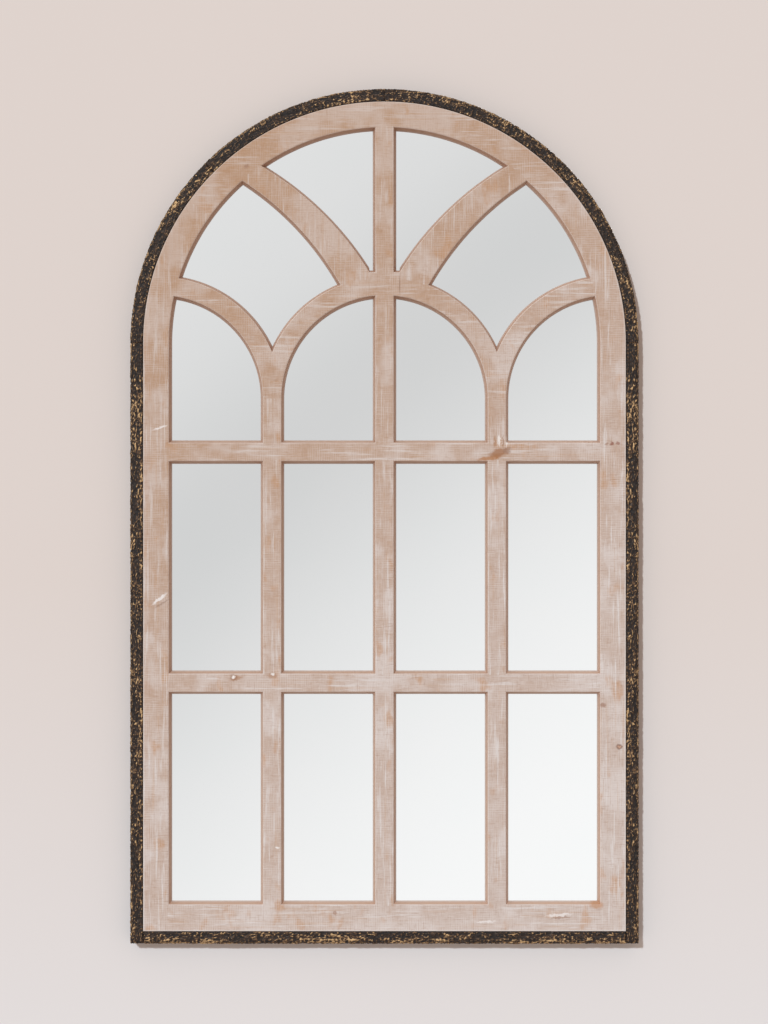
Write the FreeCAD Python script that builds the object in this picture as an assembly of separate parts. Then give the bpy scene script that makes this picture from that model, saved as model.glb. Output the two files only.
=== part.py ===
import FreeCAD, Part
import math
import os

from FreeCAD import Vector

# Arched window mirror, in millimetres. +Z is up, the mirror faces -Y and the wall is the plane
# y = 0. The origin lies in the wall plane, midway between the two points where the D-rings bear
# on their wall hooks. x = 0 is the middle of the mirror.

# Overall outline
arch_radius = 350.0        # outer edge of the dark band, so the mirror is twice this wide
spring_height = 828.0      # bottom edge up to the spring line of the round arch
hook_drop = 31.0           # spring line down to the hook points, the origin

# Dark outer band
band_width = 17.5
band_depth = 26.0
band_round = 5.0           # rounding of its outer front edge
band_arch_pieces = 4

# Face frame of planed fir
face_proud = 1.5           # the frame stands this far in front of the band
outer_bar_width = 35.0     # stiles and arch
bottom_rail_width = 36.5
outer_bar_thickness = 17.0
bar_width = 24.5           # transoms, mullions and small arcs
bar_thickness = 12.0
bar_splay = 4.0            # lean of a bar's side, out from its front face to the mirror
arris_radius = 1.5         # rounding of the front edges
arch_pieces = 5
panes_across = 4           # panes of one width, with a mullion in each joint between them
lancet_drop = 76.75        # spring line of the arch down to the spring line of the small arcs
lancet_side = 61.25        # straight side of the lancets, above the upper transom
hub_half_width = 21.0
hub_top_rise = 31.0        # crown of the lancet openings up to the top of the hub block

# Curved arms between the ring and the hub. Angles are at the arch centre, above the horizontal,
# apart from the foot's, which is at the small arc's centre, away from the vertical.
arm_upper_angle = 55.0
arm_lower_angle = 48.8
arm_foot_angle = 21.0
arm_upper_bow = 12.8
arm_lower_bow = 12.25

# Joinery
rebate_width = 9.0
tenon_depth = 8.0
tenon_thickness = 5.0
tenon_shoulder = 4.0
tenon_end_gap = 1.0        # glue room past the end of a tenon, spline or dowel
rail_tenon_depth = 20.0
spline_width = 16.0
spline_length = 24.0
spline_inset = 4.5         # inner edge of the arch to the spline
spline_thickness = 4.0
spline_front_skin = 3.0    # wood left in front of a spline
dowel_radius = 3.0
dowel_length = 24.0
dowel_angle = 15.5         # at the small arc's centre, away from the vertical

# Mirror and back
mirror_thickness = 4.0
mirror_clearance = 1.0     # between the glass edge and the rebate wall
backing_thickness = 5.0
backing_inset = 4.0
pad_size = 30.0
pad_pitch = 200.0
pad_rows = 4
pad_edge_margin = 130.0    # bottom of the glass, and top of the arch, to the nearest row
bumper_radius = 6.0
bumper_height = 2.5
bumper_end_margin = 30.0
bumper_arch_angle = 60.0

# Fasteners
nail_length = 28.0
nail_radius = 0.9
nail_head_radius = 1.7
nail_head_height = 1.0
nail_set = 0.5             # heads are punched this far below the band's face
nail_end_margin = 60.0
nails_per_upright = 5
nails_per_bottom = 4
screw_radius = 1.5
screw_length = 14.0
screw_head_radius = 3.0
screw_head_height = 1.8
screw_clearance = 0.25     # round a screw in the backing and in the straps
backing_screw_inset = 16.5 # outer edge of the wood to the screws
backing_screw_margin = 42.0
backing_screws_per_stile = 4

# D-ring hangers
hanger_inset = 16.5        # outer edge of the wood to the strap's middle
strap_width = 11.0
strap_length = 44.0
strap_thickness = 1.2
strap_screw_drop = 26.0    # eye to the upper screw
strap_screw_pitch = 12.0
ring_wire = 3.0
ring_eye_clearance = 0.1
eye_lift = 0.2             # the eye stands off the back, so that the ring clears the strap
ring_half_width = 9.5
ring_bend = 3.5
ring_reach = 18.0          # axis of the straight side to the middle of the round side

# Depths, from the wall towards the room
band_back = -bumper_height
band_front = band_back - band_depth
wood_front = band_front - face_proud
outer_bar_back = wood_front + outer_bar_thickness
bar_back = wood_front + bar_thickness
mirror_back = bar_back + mirror_thickness
backing_back = outer_bar_back + backing_thickness
lap_plane = wood_front + bar_thickness / 2
nail_y = (band_front + outer_bar_back) / 2
tenon_front = lap_plane - tenon_thickness / 2
tenon_back = lap_plane + tenon_thickness / 2

# Heights and half widths
spring_z = hook_drop
bottom_z = spring_z - spring_height
wood_half = arch_radius - band_width
inner_half = wood_half - outer_bar_width
wood_bottom = bottom_z + band_width
rail_top = wood_bottom + bottom_rail_width
bar_half = bar_width / 2
bar_back_half = bar_half + bar_splay
splay_slope = math.atan(bar_splay / bar_thickness)
arris_run = arris_radius * math.tan((math.pi / 2 - splay_slope) / 2)
bar_flat_half = bar_half - arris_run
pane_width = (2 * inner_half - (panes_across - 1) * bar_width) / panes_across
mullion_pitch = pane_width + bar_width
lancet_z = spring_z - lancet_drop
upper_transom_z = lancet_z - lancet_side - bar_half
pane_height = (upper_transom_z - bar_half - rail_top - bar_width) / 2
lower_transom_z = rail_top + pane_height + bar_half
lancet_inner = mullion_pitch - bar_half
lancet_outer = mullion_pitch + bar_half
hub_top = lancet_z + lancet_inner + hub_top_rise
rebate_half = inner_half + rebate_width
screw_line = wood_half - backing_screw_inset
eye_z = ring_wire / 2 - ring_reach
eye_radius = ring_wire / 2 + ring_eye_clearance + strap_thickness
eye_y = backing_back + eye_lift + eye_radius
strap_back = backing_back + strap_thickness
strap_bottom = eye_z - strap_length
hanger_x = wood_half - hanger_inset
beyond = 2 * arch_radius + spring_height   # longer than anything on the mirror


# Shapes

def box(x0, x1, y0, y1, z0, z1):
    corner = Vector(min(x0, x1), min(y0, y1), min(z0, z1))
    return Part.makeBox(abs(x1 - x0), abs(y1 - y0), abs(z1 - z0), corner)


def rod(start, direction, radius, length):
    return Part.makeCylinder(radius, length, start, direction)


def disc(centre_x, centre_z, radius, y0, y1):
    return rod(Vector(centre_x, y0, centre_z), Vector(0, 1, 0), radius, y1 - y0)


def slab(edges, y0, y1):
    """The closed outline, drawn at y0, thickened to y1."""
    face = Part.Face(Part.Wire(edges))
    return face.extrude(Vector(0, y1 - y0, 0))


def line(start, end):
    return Part.LineSegment(start, end).toShape()


def arc(start, middle, end):
    return Part.Arc(start, middle, end).toShape()


def on_circle(centre_x, centre_z, radius, degrees, y):
    angle = math.radians(degrees)
    return Vector(centre_x + radius * math.cos(angle), y, centre_z + radius * math.sin(angle))


def bow_circle(start, end, bow):
    """Centre and radius of the arc from start to end that stands off its chord by bow, to the
    left of its run."""
    chord = end - start
    left = Vector(-chord.z, 0, chord.x).normalize()
    radius = (chord.Length ** 2 / 4 + bow ** 2) / (2 * bow)
    return (start + end) / 2 + left * (bow - radius), radius


def rounded_edge(slope):
    """Points (depth, reach) down a side, from a rounded front edge of the flat face onto the
    side, which leans out by slope. Reach is measured from the edge as it would be unrounded."""
    turn = math.pi / 2 - slope
    run = arris_radius * math.tan(turn / 2)
    points = []
    for share in (0, 0.5, 1):
        angle = share * turn
        points.append((arris_radius * (1 - math.cos(angle)),
                       arris_radius * math.sin(angle) - run))
    return points


def splayed_side():
    return rounded_edge(splay_slope) + [(bar_thickness, bar_splay)]


def upright_side():
    return rounded_edge(0) + [(outer_bar_thickness, 0)]


def flared(rectangle, leans, side):
    """A block from the front of the wood back, over the rectangle (x0, x1, z0, z1). Leans says
    which way each of its four sides moves with the side's reach."""
    layers = []
    for (depth, reach), (next_depth, next_reach) in zip(side, side[1:]):
        x0, x1, z0, z1 = [place + lean * reach for place, lean in zip(rectangle, leans)]
        u0, u1, w0, w1 = [place + lean * next_reach for place, lean in zip(rectangle, leans)]
        layers.append(Part.makeWedge(x0, wood_front + depth, z0, w0, u0,
                                     x1, wood_front + next_depth, z1, w1, u1))
    return joined(layers)


def flared_disc(centre_x, centre_z, radius, lean, side):
    layers = []
    for (depth, reach), (next_depth, next_reach) in zip(side, side[1:]):
        near = radius + lean * reach
        far = radius + lean * next_reach
        start = Vector(centre_x, wood_front + depth, centre_z)
        thickness = next_depth - depth
        if near == far:
            layers.append(rod(start, Vector(0, 1, 0), near, thickness))
        else:
            layers.append(Part.makeCone(near, far, thickness, start, Vector(0, 1, 0)))
    return joined(layers)


def sector(inner, outer, a0, a1, y0, y1):
    """Part of a flat ring about the arch centre, between two angles in degrees."""
    def at(radius, degrees):
        return on_circle(0, spring_z, radius, degrees, y0)
    middle = (a0 + a1) / 2
    edges = [
        line(at(inner, a0), at(outer, a0)),
        arc(at(outer, a0), at(outer, middle), at(outer, a1)),
        line(at(outer, a1), at(inner, a1)),
        arc(at(inner, a1), at(inner, middle), at(inner, a0)),
    ]
    return slab(edges, y0, y1)


def arched_sheet(half_width, bottom, y0, y1):
    """A sheet with a flat bottom and a half-round top."""
    left_foot = Vector(-half_width, y0, bottom)
    right_foot = Vector(half_width, y0, bottom)
    left_spring = Vector(-half_width, y0, spring_z)
    right_spring = Vector(half_width, y0, spring_z)
    edges = [
        line(left_foot, right_foot),
        line(right_foot, right_spring),
        arc(right_spring, Vector(0, y0, spring_z + half_width), left_spring),
        line(left_spring, left_foot),
    ]
    return slab(edges, y0, y1)


def about_arch(shape, degrees):
    """The shape, made at the right-hand spring point, turned up round the arch."""
    turned = shape.copy()
    turned.rotate(Vector(0, 0, spring_z), Vector(0, -1, 0), degrees)
    return turned


def mirrored(shape):
    return shape.mirror(Vector(0, 0, 0), Vector(1, 0, 0))


def joined(shapes):
    return shapes[0].fuse(shapes[1:])


def less(shape, tools):
    return shape.cut(tools)


def opening(grow):
    """The arched opening between the outer bars, grown all round. It narrows to the mirror."""
    half = inner_half + grow
    lower = flared((-half, half, wood_bottom, spring_z), (1, -1, 0, 0), splayed_side())
    upper = flared_disc(0, spring_z, half, -1, splayed_side())
    behind = arched_sheet(half - bar_splay, wood_bottom, bar_back, outer_bar_back)
    return joined([lower, upper, behind])


def face_outline():
    """The face frame's outer shape, with its front edge rounded."""
    lower = flared((-wood_half, wood_half, wood_bottom, spring_z), (-1, 1, -1, 0), upright_side())
    upper = flared_disc(0, spring_z, wood_half, 1, upright_side())
    return joined([lower, upper])


def tongue(outline, zone):
    """The tenon that a bar's narrowed outline makes where it runs into its neighbour."""
    middle = box(-beyond, beyond, tenon_front, tenon_back, -beyond, beyond)
    return outline.common(zone).common(middle)


# Places of repeated things

def spaced(first, last, count):
    return [first + (last - first) * i / (count - 1) for i in range(count)]


def mirror_of(places):
    return [-place for place in reversed(places)] + places


def band_nails():
    """Wire nails through the band into the edge of the face frame, heads set below its face."""
    places = []
    for z in spaced(bottom_z + nail_end_margin, spring_z - nail_end_margin, nails_per_upright):
        places.append((Vector(arch_radius, 0, z), Vector(-1, 0, 0)))
        places.append((Vector(-arch_radius, 0, z), Vector(1, 0, 0)))
    edge = wood_half - nail_end_margin
    for x in spaced(-edge, edge, nails_per_bottom):
        places.append((Vector(x, 0, bottom_z), Vector(0, 0, 1)))
    step = 180.0 / band_arch_pieces
    for piece in range(band_arch_pieces):
        for share in (1 / 3, 2 / 3):
            outer = on_circle(0, spring_z, arch_radius, (piece + share) * step, 0)
            inward = (Vector(0, 0, spring_z) - outer).normalize()
            places.append((outer, inward))
    return places


def nail(place):
    outer, inward = place
    head = outer + Vector(0, nail_y, 0) + inward * nail_set
    return rod(head, inward, nail_head_radius, nail_head_height).fuse(
        rod(head, inward, nail_radius, nail_length - nail_set))


def nail_hole(place):
    outer, inward = place
    mouth = outer + Vector(0, nail_y, 0) - inward * nail_set
    return nail(place).fuse(rod(mouth, inward, nail_head_radius, 2 * nail_set))


def backing_screw_places():
    places = []
    top = strap_bottom - backing_screw_margin
    for z in spaced(wood_bottom + backing_screw_margin, top, backing_screws_per_stile):
        places.append((screw_line, z))
        places.append((-screw_line, z))
    for x in mirror_of([mullion_pitch / 2, mullion_pitch * 3 / 2]):
        places.append((x, (wood_bottom + rail_top - rebate_width) / 2))
    step = 180.0 / arch_pieces
    for piece in range(arch_pieces):
        spot = on_circle(0, spring_z, screw_line, (piece + 0.5) * step, 0)
        places.append((spot.x, spot.z))
    return places


def hanger_screw_places():
    upper_z = eye_z - strap_screw_drop
    return [(side * hanger_x, z) for side in (-1, 1) for z in (upper_z, upper_z - strap_screw_pitch)]


def screw(x, z, seat):
    """A round-head wood screw whose head sits on the plane y = seat and points at the room."""
    shank = rod(Vector(x, seat, z), Vector(0, -1, 0), screw_radius, screw_length)
    head = rod(Vector(x, seat, z), Vector(0, 1, 0), screw_head_radius, screw_head_height)
    rim = max(head.Edges, key=lambda edge: edge.CenterOfMass.y)
    return head.makeFillet(screw_head_height / 2, [rim]).fuse(shank)


def screw_hole(x, z, seat):
    """Room for a screw in the sheet that it clamps, with clearance all round."""
    start = Vector(x, seat, z)
    return rod(start, Vector(0, -1, 0), screw_radius + screw_clearance, screw_length)


# Outer bars of the face frame

def spline_at_spring(grow):
    """A loose spline across the joint at the right-hand spring point, or with grow its slot."""
    near = inner_half + spline_inset
    front = wood_front + spline_front_skin
    reach = spline_length / 2 + grow
    return box(near, near + spline_width, front, front + spline_thickness,
               spring_z - reach, spring_z + reach)


def spline_angles():
    return [180.0 * i / arch_pieces for i in range(arch_pieces + 1)]


def arch_splines():
    return [about_arch(spline_at_spring(0), angle) for angle in spline_angles()]


def spline_slots():
    return [about_arch(spline_at_spring(tenon_end_gap), angle) for angle in spline_angles()]


def wood_fastener_holes():
    holes = [nail(place) for place in band_nails()]
    holes += [screw(x, z, backing_back) for x, z in backing_screw_places()]
    holes += [screw(x, z, strap_back) for x, z in hanger_screw_places()]
    return holes


def rail_tenon(grow):
    """The bottom rail's right-hand tenon, or with grow its mortise."""
    return box(inner_half - bar_splay, inner_half + rail_tenon_depth + grow,
               tenon_front, tenon_back,
               wood_bottom + 2 * tenon_shoulder, rail_top - rebate_width)


def transom_tenon(z, grow):
    return box(inner_half - bar_splay, inner_half + tenon_depth + grow,
               tenon_front, tenon_back,
               z - bar_half + tenon_shoulder, z + bar_half - tenon_shoulder)


def mullion_foot(x, grow):
    return box(x - bar_half + tenon_shoulder, x + bar_half - tenon_shoulder,
               tenon_front, tenon_back, rail_top - tenon_depth - grow, rail_top + bar_splay)


def right_stile():
    body = box(inner_half - bar_splay, wood_half, wood_front, outer_bar_back,
               wood_bottom, spring_z)
    rebate = box(0, rebate_half, bar_back, outer_bar_back, rail_top - rebate_width, spring_z)
    mortises = [rail_tenon(tenon_end_gap)] + tracery_mortises()
    mortises += [transom_tenon(z, tenon_end_gap) for z in (lower_transom_z, upper_transom_z)]
    body = body.common(face_outline())
    return less(body, [opening(0), rebate, spline_slots()[0]] + mortises + wood_fastener_holes())


def rail_front():
    """The rail in front of the mirror, up to its splayed top edge."""
    return flared((-inner_half - arris_run, inner_half + arris_run, wood_bottom, rail_top),
                  (0, 0, 0, 1), splayed_side())


def bottom_rail():
    """The ends are scribed to the stiles' splayed sides."""
    behind = box(-inner_half, inner_half, bar_back, outer_bar_back,
                 wood_bottom, rail_top - rebate_width)
    body = joined([rail_front(), behind]).common(opening(0)).common(face_outline())
    feet = [mullion_foot(x, tenon_end_gap) for x in (-mullion_pitch, 0, mullion_pitch)]
    tenon = rail_tenon(0)
    body = less(body, feet + wood_fastener_holes())
    return joined([body, tenon, mirrored(tenon)])


def arch_piece(number):
    step = 180.0 / arch_pieces
    a0 = number * step
    body = sector(inner_half - bar_splay, wood_half, a0, a0 + step, wood_front, outer_bar_back)
    rebate = disc(0, spring_z, rebate_half, bar_back, outer_bar_back)
    body = body.common(face_outline())
    return less(body, [opening(0), rebate] + spline_slots() + tracery_mortises()
                + wood_fastener_holes())


# Inner bars and tracery. A tenon follows its bar's line, but is narrower and has straight sides.

def straight_side():
    return [(0, 0), (bar_thickness, 0)]


def mullion_strip(x, inset, side, z0, z1):
    half = bar_half - inset
    return flared((x - half, x + half, z0, z1), (-1, 1, 0, 0), side)


def small_arc_band(centre_x, inset, side):
    outer = flared_disc(centre_x, lancet_z, lancet_outer - inset, 1, side)
    inner = flared_disc(centre_x, lancet_z, lancet_inner + inset, -1, side)
    return outer.cut(inner)


def arm_blank(inset, side):
    """The left arm between its two bowed edges, run on past the ring and under the small arc."""
    upper_ring = on_circle(0, spring_z, inner_half, 180 - arm_upper_angle, wood_front)
    lower_ring = on_circle(0, spring_z, inner_half, 180 - arm_lower_angle, wood_front)
    hub_corner = Vector(-hub_half_width, wood_front, hub_top)
    foot = on_circle(0, lancet_z, lancet_outer, 90 + arm_foot_angle, wood_front)
    over, over_radius = bow_circle(upper_ring, hub_corner, arm_upper_bow)
    under, under_radius = bow_circle(lower_ring, foot, arm_lower_bow)
    within = flared_disc(over.x, over.z, over_radius - inset, 1, side)
    beside = flared_disc(under.x, under.z, under_radius + inset, -1, side)
    zone = box(-beyond, -hub_half_width, wood_front, bar_back, lancet_z, beyond)
    return within.cut(beside).common(zone)


def tracery_tenons(grow):
    """The tenons of the left outer arc, the left arm and the upper middle mullion into the
    arch, or with grow their mortises."""
    rim = opening(tenon_depth + grow).cut(opening(0))
    zone = rim.common(box(-beyond, beyond, wood_front, bar_back, lancet_z + bar_width, beyond))
    outer_arc = small_arc_band(-2 * mullion_pitch, tenon_shoulder, straight_side())
    arm_end = arm_blank(tenon_shoulder, straight_side())
    middle = mullion_strip(0, tenon_shoulder, straight_side(), hub_top, beyond)
    return [tongue(shape, zone) for shape in (outer_arc, arm_end, middle)]


def tracery_mortises():
    outer_arc, arm_end, middle = tracery_tenons(tenon_end_gap)
    return [outer_arc, arm_end, middle, mirrored(outer_arc), mirrored(arm_end)]


def hub_tenon(grow):
    """The left inner arc's tenon into the hub block."""
    depth = tenon_depth + grow
    zone = box(-hub_half_width, -hub_half_width + depth, wood_front, bar_back, lancet_z, beyond)
    return tongue(small_arc_band(0, tenon_shoulder, straight_side()), zone)


def side_mullion_head(grow):
    """Tenon on top of the left mullion, shared by the feet of both small arcs."""
    top = lancet_z + tenon_depth + grow
    half = bar_half - tenon_shoulder
    return box(-mullion_pitch - half, -mullion_pitch + half, tenon_front, tenon_back,
               lancet_z, top)


def lower_mullion_head(grow):
    """Tenon on top of the lower middle mullion, up into the hub block."""
    half = bar_half - tenon_shoulder
    blank = box(-half, half, tenon_front, tenon_back, lancet_z,
                lancet_z + lancet_inner + tenon_depth + grow)
    return blank.cut(flared_disc(0, lancet_z, lancet_inner, -1, splayed_side()))


def upper_mullion_foot(grow):
    """Tenon under the upper middle mullion, down into the hub block."""
    half = bar_half - tenon_shoulder
    return box(-half, half, tenon_front, tenon_back,
               hub_top - tenon_depth - grow, hub_top + bar_splay)


def arm_dowel(grow):
    """The left arm's dowel into the small arc under it, across their joint."""
    start = on_circle(0, lancet_z, lancet_outer - dowel_length / 2 - grow,
                      90 + dowel_angle, lap_plane)
    end = on_circle(0, lancet_z, lancet_outer, 90 + dowel_angle, lap_plane)
    return rod(start, end - start, dowel_radius, dowel_length + 2 * grow)


def outer_small_arc():
    band = small_arc_band(-2 * mullion_pitch, 0, splayed_side())
    quarter = box(-beyond, -mullion_pitch, wood_front, bar_back, lancet_z, beyond)
    body = band.common(quarter).common(opening(0))
    return joined([less(body, [side_mullion_head(tenon_end_gap)]), tracery_tenons(0)[0]])


def inner_small_arc():
    band = small_arc_band(0, 0, splayed_side())
    quarter = box(-mullion_pitch, -hub_half_width, wood_front, bar_back, lancet_z, beyond)
    body = band.common(quarter)
    body = less(body, [side_mullion_head(tenon_end_gap), arm_dowel(tenon_end_gap)])
    return joined([body, hub_tenon(0)])


def arm():
    body = arm_blank(0, splayed_side()).common(opening(0))
    under = flared_disc(0, lancet_z, lancet_outer, 1, splayed_side())
    body = less(body, [under, arm_dowel(tenon_end_gap)])
    return joined([body, tracery_tenons(0)[1]])


def hub_blank():
    return flared((-hub_half_width, hub_half_width, lancet_z, hub_top),
                  (0, 0, 0, 1), splayed_side())


def hub_block():
    under = flared_disc(0, lancet_z, lancet_inner, -1, splayed_side())
    side = hub_tenon(tenon_end_gap)
    return less(hub_blank(), [under, side, mirrored(side), lower_mullion_head(tenon_end_gap),
                              upper_mullion_foot(tenon_end_gap)])


def lap_notch(x, z):
    """The notch in a mullion's front half for the transom that crosses it, mitred where the
    splayed sides of the two meet."""
    corners = [
        (-bar_back_half, -bar_back_half), (-bar_flat_half, -bar_flat_half),
        (bar_flat_half, -bar_flat_half), (bar_back_half, -bar_back_half),
        (bar_back_half, bar_back_half), (bar_flat_half, bar_flat_half),
        (-bar_flat_half, bar_flat_half), (-bar_back_half, bar_back_half),
    ]
    points = [Vector(x + across, wood_front, z + up) for across, up in corners]
    edges = [line(start, end) for start, end in zip(points, points[1:] + points[:1])]
    return slab(edges, wood_front, lap_plane)


def transom(z):
    """A transom, half-lapped in front of the three mullions that cross it."""
    reach = inner_half + arris_run
    body = flared((-reach, reach, z - bar_half, z + bar_half), (0, 0, -1, 1), splayed_side())
    crossings = []
    for x in (-mullion_pitch, 0, mullion_pitch):
        strip = mullion_strip(x, 0, splayed_side(), z - bar_back_half, z + bar_back_half)
        crossings.append(strip.cut(lap_notch(x, z)))
    tenon = transom_tenon(z, 0)
    return joined([less(body.common(opening(0)), crossings), tenon, mirrored(tenon)])


def lap_notches(x):
    return [lap_notch(x, z) for z in (lower_transom_z, upper_transom_z)]


def left_mullion():
    body = mullion_strip(-mullion_pitch, 0, splayed_side(), rail_top - arris_run, lancet_z)
    body = less(body, [rail_front()] + lap_notches(-mullion_pitch))
    return joined([body, mullion_foot(-mullion_pitch, 0), side_mullion_head(0)])


def lower_middle_mullion():
    body = mullion_strip(0, 0, splayed_side(), rail_top - arris_run, lancet_z)
    cap = mullion_strip(0, 0, splayed_side(), lancet_z, lancet_z + mullion_pitch)
    cap = cap.common(flared_disc(0, lancet_z, lancet_inner, -1, splayed_side()))
    body = less(joined([body, cap]).removeSplitter(), [rail_front()] + lap_notches(0))
    return joined([body, mullion_foot(0, 0), lower_mullion_head(0)])


def upper_middle_mullion():
    body = mullion_strip(0, 0, splayed_side(), hub_top - arris_run, spring_z + arch_radius)
    body = less(body.common(opening(0)), [hub_blank()])
    return joined([body, upper_mullion_foot(0), tracery_tenons(0)[2]])


# Dark band

def band_section(place):
    """The band's section, with place giving the point for a distance out from its inner face
    and a depth."""
    outer_front = band_front + band_round
    across = band_width - band_round
    bend = band_round * (1 - math.sqrt(0.5))
    edges = [
        line(place(0, band_back), place(band_width, band_back)),
        line(place(band_width, band_back), place(band_width, outer_front)),
        arc(place(band_width, outer_front), place(band_width - bend, band_front + bend),
            place(across, band_front)),
        line(place(across, band_front), place(0, band_front)),
        line(place(0, band_front), place(0, band_back)),
    ]
    return Part.Face(Part.Wire(edges))


def right_band_upright():
    section = band_section(lambda out, y: Vector(wood_half + out, y, bottom_z))
    upright = section.extrude(Vector(0, 0, spring_height))
    corner = box(0, beyond, band_front, band_front + band_round, bottom_z, bottom_z + band_round)
    centre = Vector(0, band_front + band_round, bottom_z + band_round)
    waste = corner.cut(rod(centre, Vector(1, 0, 0), band_round, beyond))
    return less(upright, [waste] + [nail_hole(place) for place in band_nails()])


def band_bottom_strip():
    section = band_section(lambda out, y: Vector(-wood_half, y, wood_bottom - out))
    strip = section.extrude(Vector(2 * wood_half, 0, 0))
    return less(strip, [nail_hole(place) for place in band_nails()])


def band_arch_piece(number):
    step = 180.0 / band_arch_pieces
    section = band_section(lambda out, y: Vector(wood_half + out, y, spring_z))
    piece = section.revolve(Vector(0, 0, spring_z), Vector(0, -1, 0), step)
    piece = about_arch(piece, number * step)
    return less(piece, [nail_hole(place) for place in band_nails()])


# Mirror, back and wall bumpers

def mirror_glass():
    half = rebate_half - mirror_clearance
    bottom = rail_top - rebate_width + mirror_clearance
    return arched_sheet(half, bottom, bar_back, mirror_back)


def mirror_pads():
    half = pad_size / 2
    low = rail_top + pad_edge_margin
    high = spring_z + inner_half - 2 * pad_edge_margin
    return [box(x - half, x + half, mirror_back, outer_bar_back, z - half, z + half)
            for x in (-pad_pitch, 0, pad_pitch) for z in spaced(low, high, pad_rows)]


def backing_panel():
    sheet = arched_sheet(wood_half - backing_inset, wood_bottom + backing_inset,
                         outer_bar_back, backing_back)
    holes = [screw_hole(x, z, backing_back) for x, z in backing_screw_places()]
    holes += [screw_hole(x, z, strap_back) for x, z in hanger_screw_places()]
    return less(sheet, holes)


def wall_bumpers():
    middle = wood_half + band_width / 2
    places = []
    for z in (bottom_z + bumper_end_margin, spring_z - 2 * bumper_end_margin):
        places += [(-middle, z), (middle, z)]
    for angle in (bumper_arch_angle, 180 - bumper_arch_angle):
        spot = on_circle(0, spring_z, middle, angle, 0)
        places.append((spot.x, spot.z))
    return [disc(x, z, bumper_radius, band_back, 0) for x, z in places]


# D-ring hangers

def right_strap():
    """A strap screwed upright to the back, rolled at its top into an eye for the ring."""
    half = strap_width / 2
    round_z = strap_bottom + half
    plate = box(hanger_x - half, hanger_x + half, backing_back, strap_back, round_z, eye_z)
    tip = disc(hanger_x, round_z, half, backing_back, strap_back)
    eye = rod(Vector(hanger_x - half, eye_y, eye_z), Vector(1, 0, 0), eye_radius, strap_width)
    bore = rod(Vector(hanger_x - half, eye_y, eye_z), Vector(1, 0, 0),
               ring_wire / 2 + ring_eye_clearance, strap_width)
    holes = [screw_hole(x, z, strap_back) for x, z in hanger_screw_places()]
    return less(joined([plate, tip, eye]).removeSplitter(), [bore] + holes)


def right_d_ring():
    """A bent wire D, hanging from the eye of its strap."""
    def at(x, down):
        return Vector(hanger_x + x, eye_y, eye_z - down)
    half = ring_half_width
    straight = half - ring_bend
    bend = ring_bend * (1 - math.sqrt(0.5))
    round_down = ring_reach - half
    path = Part.Wire([
        line(at(0, 0), at(straight, 0)),
        arc(at(straight, 0), at(half - bend, bend), at(half, ring_bend)),
        line(at(half, ring_bend), at(half, round_down)),
        arc(at(half, round_down), at(0, ring_reach), at(-half, round_down)),
        line(at(-half, round_down), at(-half, ring_bend)),
        arc(at(-half, ring_bend), at(bend - half, bend), at(-straight, 0)),
        line(at(-straight, 0), at(0, 0)),
    ])
    section = Part.Wire([Part.makeCircle(ring_wire / 2, at(0, 0), Vector(1, 0, 0))])
    return path.makePipeShell([section], True, True)


def export(name, shape):
    solids = shape if isinstance(shape, list) else [shape]
    flat = [solid for part in solids for solid in part.Solids]
    piece = flat[0] if len(flat) == 1 else Part.makeCompound(flat)
    piece.exportStep("parts/" + name + ".step")
    size = piece.BoundBox
    print("%-26s %2d solid(s) valid %s  %.1f x %.1f x %.1f  %.1f cm3" % (
        name, len(flat), piece.isValid(), size.XLength, size.YLength, size.ZLength,
        piece.Volume / 1000))


os.makedirs("parts", exist_ok=True)

in_pairs = {
    "stile": right_stile(),
    "mullion": mirrored(left_mullion()),
    "outer_small_arc": mirrored(outer_small_arc()),
    "inner_small_arc": mirrored(inner_small_arc()),
    "arm": mirrored(arm()),
    "band_upright": right_band_upright(),
    "hanger_strap": right_strap(),
    "d_ring": right_d_ring(),
}
for name, shape in in_pairs.items():
    export("right_" + name, shape)
    export("left_" + name, mirrored(shape))

arch_names = ("right_lower", "right_upper", "top", "left_upper", "left_lower")
for number in range(arch_pieces):
    export("arch_" + arch_names[number], arch_piece(number))
band_names = ("right_lower", "right_upper", "left_upper", "left_lower")
for number in range(band_arch_pieces):
    export("band_arch_" + band_names[number], band_arch_piece(number))

export("bottom_rail", bottom_rail())
export("lower_transom", transom(lower_transom_z))
export("upper_transom", transom(upper_transom_z))
export("lower_middle_mullion", lower_middle_mullion())
export("upper_middle_mullion", upper_middle_mullion())
export("hub_block", hub_block())
export("arch_splines", arch_splines())
export("arm_dowels", [arm_dowel(0), mirrored(arm_dowel(0))])
export("band_bottom_strip", band_bottom_strip())
export("band_nails", [nail(place) for place in band_nails()])
export("mirror_glass", mirror_glass())
export("mirror_pads", mirror_pads())
export("backing_panel", backing_panel())
export("backing_screws", [screw(x, z, backing_back) for x, z in backing_screw_places()])
export("hanger_screws", [screw(x, z, strap_back) for x, z in hanger_screw_places()])
export("wall_bumpers", wall_bumpers())
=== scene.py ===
import math

import bpy
import numpy as np
from mathutils import Matrix, Vector


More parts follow.
